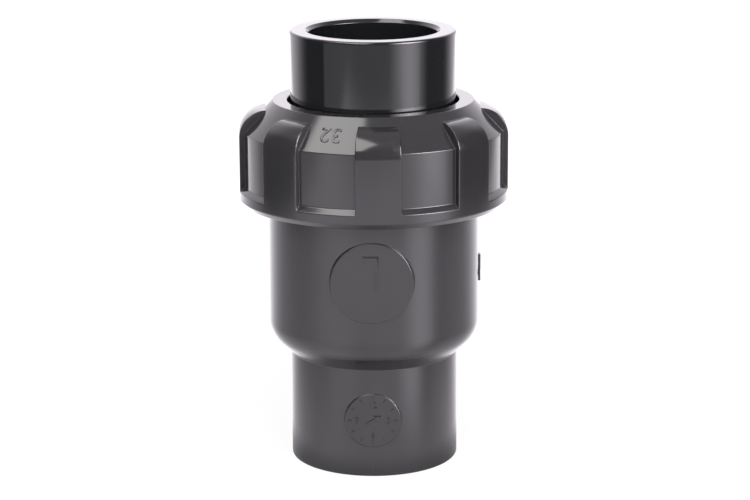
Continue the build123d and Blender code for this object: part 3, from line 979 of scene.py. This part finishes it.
by_rule(
    stem_shell, "stem_screw", thread_ridge, material=turned_steel, radius=screw_root * MM,
    height=(screw_radius - screw_root) * MM, crest=0.12 * MM, base=0.7 * MM,
    pitch=screw_pitch * MM, turns=(stem_high.z - screw_foot_z) / screw_pitch - 1.2,
    foot=(screw_foot_z + 0.6) * MM,
)
stands_for(stem_shell, "poppet_stem", "poppet")


# Stem washer: a plain washer stamped from stainless sheet. It lies between the nose and the nut
# and spreads the nut's load over the plastic.
washer_low, washer_high = (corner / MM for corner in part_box("stem_washer"))
washer_shell = turned("washer_shell", [
    (stem_bore, washer_low.z, 0.1),
    (stem_bore, washer_high.z, 0.1),
    (washer_high.x, washer_high.z, 0.15),
    (washer_high.x, washer_low.z, 0.15),
], 96)
washer_shell.data.materials.append(turned_steel)
stands_for(washer_shell, "stem_washer", "poppet")


# Stem nut: a hexagon nut of stainless bar with chamfered corners. Screwed down on the washer, it
# clamps the nose, the seal and the poppet on the stem's shoulder.
nut_low, nut_high = (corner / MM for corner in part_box("stem_nut"))
across_flats = 8.0
flat_half = across_flats / 2
face_radius = flat_half * 0.97
bore_lead = 0.25
chamfer_slope = math.tan(math.radians(30))
points, faces = [], []
hex_columns = 144
hex_rows = 8
for column in range(hex_columns):
    angle = 2 * math.pi * column / hex_columns
    from_flat = (angle + math.radians(30)) % math.radians(60) - math.radians(30)
    side = flat_half / math.cos(from_flat)
    drop = (side - face_radius) * chamfer_slope
    for r, z in (
        (screw_radius, nut_low.z + bore_lead), (screw_radius, nut_high.z - bore_lead),
        (screw_radius + bore_lead, nut_high.z), (face_radius, nut_high.z),
        (side, nut_high.z - drop), (side, nut_low.z + drop),
        (face_radius, nut_low.z), (screw_radius + bore_lead, nut_low.z),
    ):
        points.append((r * math.cos(angle), r * math.sin(angle), z))
    here = column * hex_rows
    beside = (column + 1) % hex_columns * hex_rows
    for row in range(hex_rows):
        above = (row + 1) % hex_rows
        faces.append((here + row, beside + row, beside + above, here + above))
hexagon = solid("hexagon_nut", points, faces)
hexagon.data.set_sharp_from_angle(angle=math.radians(12))
hexagon.data.materials.append(turned_steel)
stands_for(hexagon, "stem_nut", "poppet")


# Stem clip: a stamped stainless ring, open towards the arrow's side, that snaps into the groove
# near the stem's foot and stops the stem from leaving its bush.
clip_low, clip_high = (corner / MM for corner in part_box("stem_clip"))
clip_outer = -clip_low.x
clip_inner = 2.25
clip_mouth = 3.6
clip_steps = 32
clip_points = []
for radius, way in ((clip_outer, 1), (clip_inner, -1)):
    edge = math.asin(clip_mouth / 2 / radius)
    for k in range(clip_steps + 1):
        share = k / clip_steps if way > 0 else 1 - k / clip_steps
        angle = edge + (2 * math.pi - 2 * edge) * share
        clip_points.append((radius * math.cos(angle), radius * math.sin(angle)))
clip_shell = raised(
    "clip_shell", [clip_points], clip_low.z, clip_high.z, lambda x, y, z: (x, y, z), 0.08,
)
clip_shell.data.materials.append(turned_steel)
stands_for(clip_shell, "stem_clip", "poppet")


# Stage: a plain white floor that keeps the valve's shadow. What the camera sees of it is white. The
# glossy plastic reflects it as a sheet of white card that shines towards the window of light. The
# card's glow holds a painted contact shadow round the valve's foot, painted shade beside it, and
# painted light towards the front left and behind.
floor_mesh = bpy.data.meshes.new("floor")
floor_mesh.from_pydata([(-4, -4, 0), (4, -4, 0), (4, 4, 0), (-4, 4, 0)], [], [(0, 1, 2, 3)])
floor = bpy.data.objects.new("floor", floor_mesh)
bpy.context.scene.collection.objects.link(floor)
floor_card = bpy.data.materials.new("floor_card")
floor_card.use_nodes = True
tree = floor_card.node_tree
start = Wire(tree)
card = tree.nodes["Principled BSDF"]
card.inputs["Base Color"].default_value = (0.2, 0.2, 0.2, 1)
card.inputs["Roughness"].default_value = 1.0
card.inputs["Specular IOR Level"].default_value = 0.0
card.inputs["Emission Color"].default_value = (1, 1, 1, 1)
card.inputs["Emission Strength"].default_value = 0.88
card_half = 0.4
card_front = 0.56
card_light = 1.6
side_fade = 0.04
front_fade = 0.1
window_turn = 52
window_reach = 32
place = start.node("ShaderNodeTexCoord", out="Object")
x, y = [start.node("ShaderNodeSeparateXYZ", {0: place}, k) for k in range(2)]
far_side = start.maths("ABSOLUTE", x)
on_card = 1 - far_side.ease(card_half - side_fade, card_half + side_fade)
on_card = on_card * (0 - y).ease(card_front + front_fade, card_front - front_fade)
bearing_from_camera = start.maths("ARCTAN2", x, 0 - y) * (180 / math.pi)
towards_window = 1 - start.maths("ABSOLUTE", bearing_from_camera - window_turn).ease(4, window_reach + 6)
clearance = start.node("ShaderNodeVectorMath", {0: place}, "Value", operation="LENGTH") - socket_outer * MM
# Painted shade: the card's glow is dimmer beside the valve, and darker near its foot as a painted contact
# shadow.
beside = start.maths("ABSOLUTE", start.maths("ABSOLUTE", bearing_from_camera) - 95)
beside = 1 - beside.ease(8, 60)
# Painted light: the card's glow is paler towards the front left and behind.
paler_card = 1 - start.maths("ABSOLUTE", bearing_from_camera + 38).ease(5, 32)
far_card = start.maths("ABSOLUTE", bearing_from_camera).ease(110, 150)
glow_with_painted_shadow = 0.34 + 0.51 * clearance.ease(0.0, 0.025) + 0.17 * clearance.ease(0.025, 0.28)
glow_with_painted_shadow = card_light * (glow_with_painted_shadow + 0.1 * clearance.ease(0.25, 0.42))
glow_with_painted_shadow = glow_with_painted_shadow * (1 - 0.33 * beside * clearance.ease(0.035, 0.13) + 0.22 * paler_card + 0.3 * far_card)
path = {kind: start.node("ShaderNodeLightPath", out=f"Is {kind} Ray") for kind in ("Camera", "Glossy")}
cool_white = (1.0, 0.955, 1.02, 1)
reflected = start.node("ShaderNodeEmission", {"Color": cool_white, "Strength": glow_with_painted_shadow})
clear = start.node("ShaderNodeBsdfTransparent")
# Painted shade: near the foot less of the window shows through the card.
share = path["Glossy"] * on_card * (1 - 0.6 * towards_window * clearance.ease(0.0, 0.12))
shown = start.node("ShaderNodeMixShader", {0: share, 1: clear, 2: reflected})
above = 1 - start.node("ShaderNodeNewGeometry", out="Backfacing")
seen = path["Camera"] * above
shown = start.node("ShaderNodeMixShader", {0: seen, 1: shown, 2: Wire(tree, card.outputs[0])})
tree.links.new(shown.socket, tree.nodes["Material Output"].inputs["Surface"])
floor_mesh.materials.append(floor_card)


# Studio: white behind, dark walls at both sides, a dim room in front above the white card, with a
# tall window of light on the right, and a large soft box overhead on the left.
world = bpy.data.worlds.new("studio")
bpy.context.scene.world = world
world.use_nodes = True
world.cycles.sampling_method = "NONE"
tree = world.node_tree
start = Wire(tree)
direction = start.node("ShaderNodeTexCoord", out="Generated")
across, depth, up = [start.node("ShaderNodeSeparateXYZ", {0: direction}, k) for k in range(3)]
azimuth = start.maths("ARCTAN2", across, 0 - depth) * (180 / math.pi)


def wall(low, high, soft=3.0):
    """1 where the bearing from the camera lies between low and high degrees."""
    past_low = azimuth.ease(low - soft / 2, low + soft / 2)
    return past_low * (1 - azimuth.ease(high - soft / 2, high + soft / 2))


left_edge = -70
right_edge = 68
room_light = 0.27
window_light = 3.5
back_light = 1.55
overhead_light = 0.55
box_light = 6.6
low_horizon = 1 - up.ease(-0.155, -0.135)
overhead = up.ease(0.5, 0.75)
paler = azimuth + 40
paler = 1 - paler.maths("ABSOLUTE", paler).ease(0, 30)
room = room_light + (0.5 + 0.1 * paler) * low_horizon
window = 1 - start.maths("ABSOLUTE", azimuth - window_turn).ease(0, window_reach)
window = window_light * window * (1 - overhead) * (1 + 6 * up.ease(-0.02, 0.12))
front = wall(left_edge, right_edge) * room + window
sides = 0.1 * (1 - azimuth.ease(left_edge - 2, left_edge + 2))
sides = sides + 0.16 * azimuth.ease(right_edge - 2, right_edge + 2)
straight_back = start.maths("ABSOLUTE", azimuth).ease(160, 174)
from_behind = ((0 - azimuth).ease(98, 134) + azimuth.ease(112, 148)) * (1 - up.ease(0.6, 0.8))
behind = back_light + 0.6 * straight_back * up.ease(-0.05, 0.1)
light = (front + sides) * (1 - overhead) + overhead_light * overhead
light = light * (1 - from_behind) + behind * from_behind
lift = start.maths("MAXIMUM", up, 0.05)
box_x = across.maths("DIVIDE", across, lift)
box_y = depth.maths("DIVIDE", depth, lift)
box_right = box_x + 0.3 * across.maths("ABSOLUTE", box_y + 0.75)
box = (
    box_x.ease(-0.9, -0.8) * (1 - box_right.ease(0.02, 0.1))
    * box_y.ease(-2.4, -1.9) * (1 - box_y.ease(0.03, 0.11)) * up.ease(0.25, 0.35)
)
light = light * (1 - box) + box_light * box
facing = across.maths("MAXIMUM", 0.1 * across - 0.93 * depth + 0.35 * up, 0.0)
soft_light = 0.07 + 4.4 * facing.maths("POWER", facing, 8.0) + 0.7 * up.ease(0.3, 1.0)
soft_light = soft_light + 0.3 * (1 - up.ease(-0.9, -0.2))
path = {kind: start.node("ShaderNodeLightPath", out=f"Is {kind} Ray") for kind in ("Camera", "Diffuse")}
light = light * (1 - path["Diffuse"]) + soft_light * path["Diffuse"]
light = light * (1 - path["Camera"]) + path["Camera"]
hue = (path["Camera"] + path["Diffuse"]).tint(box.tint(cool_white, (1.0, 0.985, 0.965, 1)), (1, 1, 1, 1))
tree.links.new(hue.socket, tree.nodes["Background"].inputs["Color"])
tree.links.new(light.socket, tree.nodes["Background"].inputs["Strength"])


# Camera: where the photograph was taken from, a little above the valve and a degree to its right.
# A small roll and shift set the valve where the photograph has it.
camera_distance = 0.796
camera_height = 0.271
camera_pitch = 14.15
camera_turn = 1.0
camera_roll = -0.25
camera = bpy.data.objects.new("camera", bpy.data.cameras.new("camera"))
bpy.context.scene.collection.objects.link(camera)
turn = math.radians(camera_turn)
camera.matrix_world = (
    Matrix.Translation((camera_distance * math.sin(turn), -camera_distance * math.cos(turn), camera_height))
    @ Matrix.Rotation(turn, 4, "Z")
    @ Matrix.Rotation(math.radians(90 - camera_pitch), 4, "X")
    @ Matrix.Rotation(math.radians(camera_roll), 4, "Z")
)
camera.data.lens = 117.6
camera.data.sensor_width = 36
camera.data.shift_x = 0.0017
bpy.context.scene.camera = camera
bpy.context.scene.view_settings.view_transform = "Standard"
